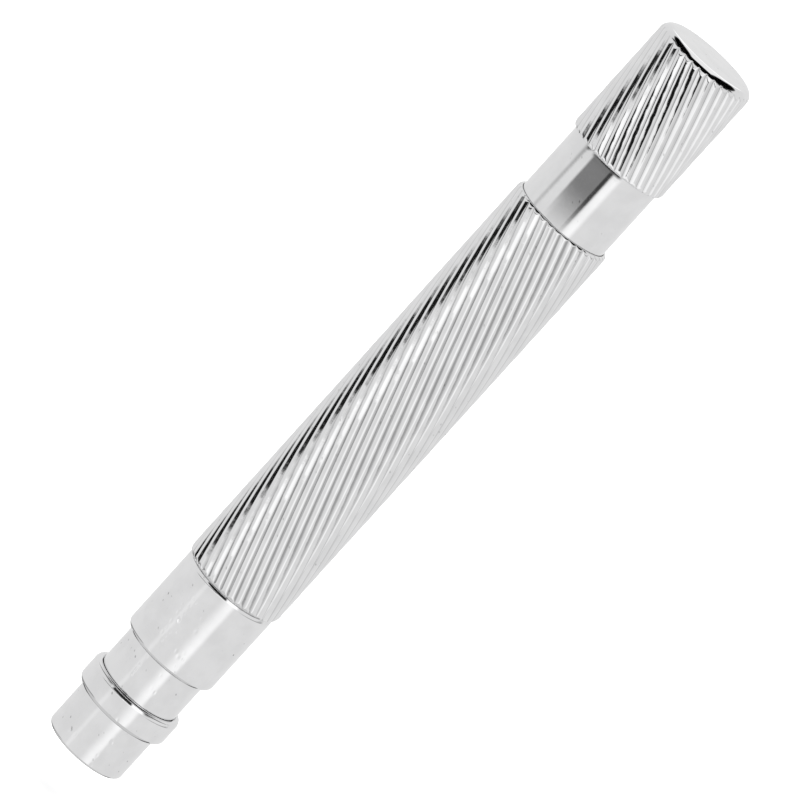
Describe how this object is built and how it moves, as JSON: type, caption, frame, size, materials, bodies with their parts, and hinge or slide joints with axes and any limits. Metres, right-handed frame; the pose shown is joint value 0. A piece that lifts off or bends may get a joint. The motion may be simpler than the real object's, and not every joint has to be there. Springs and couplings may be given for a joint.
{
  "type": "lead holder",
  "caption": "Push-button clutch lead holder: chromed barrel with a spiral-fluted grip, stepped nose, three-jaw clutch and a fluted twist-off knob.",
  "frame": {"origin": "centre of the nose end face, on the barrel's axis", "axes": "+Z along the axis from the nose to the knob; +Y through the middle of the first jaw"},
  "size_m": [0.012, 0.012, 0.1002],
  "materials": {
    "chrome_plate": "bright polished chrome plate over turned brass",
    "brass": "plain turned brass, lightly oxidised",
    "spring_steel": "drawn spring steel and hardened steel, satin",
    "seal_rubber": "black nitrile rubber, matt"
  },
  "bodies": {
    "barrel": {"nose_cap": "chrome_plate", "front_housing": "chrome_plate", "grip_sleeve": "chrome_plate", "front_guide_bush": "brass", "spring_seat_bush": "brass", "inner_liner": "brass", "rear_guide_bush": "brass"},
    "push_button": {"jaw_spreader_ring": "spring_steel", "jaw_carrier": "brass", "clutch_stem": "brass", "lead_tube": "brass", "return_spring": "spring_steel", "spring_collar": "brass", "collar_circlip": "spring_steel", "button_tube": "chrome_plate", "tube_adapter": "brass"},
    "jaw_1": {"clutch_jaw_1": "spring_steel"},
    "jaw_2": {"clutch_jaw_2": "spring_steel"},
    "jaw_3": {"clutch_jaw_3": "spring_steel"},
    "knob_seal": {"knob_seal_ring": "seal_rubber"},
    "knob": {"knob_core": "brass", "knob_shell": "chrome_plate", "knob_crown": "chrome_plate", "pointer_body": "brass", "pointer_blades": "spring_steel"}
  },
  "joints": [
    {"name": "button_push", "type": "slide", "parent": "barrel", "child": "push_button", "axis": [0, 0, -1], "range_m": [0, 0.0045], "stiffness_N_per_m": 640, "springref_m": -0.012, "deforming": ["return_spring"]},
    {"name": "jaw_1_open", "type": "hinge", "parent": "push_button", "child": "jaw_1", "pos_m": [0, 0.0035, 0.0199], "axis": [1, 0, 0], "range_deg": [0, 1.3]},
    {"name": "jaw_2_open", "type": "hinge", "parent": "push_button", "child": "jaw_2", "pos_m": [-0.00303, -0.00175, 0.0199], "axis": [-0.5, 0.866, 0], "range_deg": [0, 1.3]},
    {"name": "jaw_3_open", "type": "hinge", "parent": "push_button", "child": "jaw_3", "pos_m": [0.00303, -0.00175, 0.0199], "axis": [-0.5, -0.866, 0], "range_deg": [0, 1.3]},
    {"name": "knob_rise", "type": "slide", "parent": "push_button", "child": "knob_seal", "axis": [0, 0, 1], "range_m": [0, 0.00601]},
    {"name": "knob_turn", "type": "hinge", "parent": "knob_seal", "child": "knob", "pos_m": [0, 0, 0.09], "axis": [0, 0, 1], "range_deg": [0, 1440]}
  ],
  "couplings": [
    {"joint": "jaw_1_open", "follows": "button_push", "rad_per_m": 5},
    {"joint": "jaw_2_open", "follows": "button_push", "rad_per_m": 5},
    {"joint": "jaw_3_open", "follows": "button_push", "rad_per_m": 5},
    {"joint": "knob_rise", "follows": "knob_turn", "m_per_rad": 0.00023873}
  ]
}
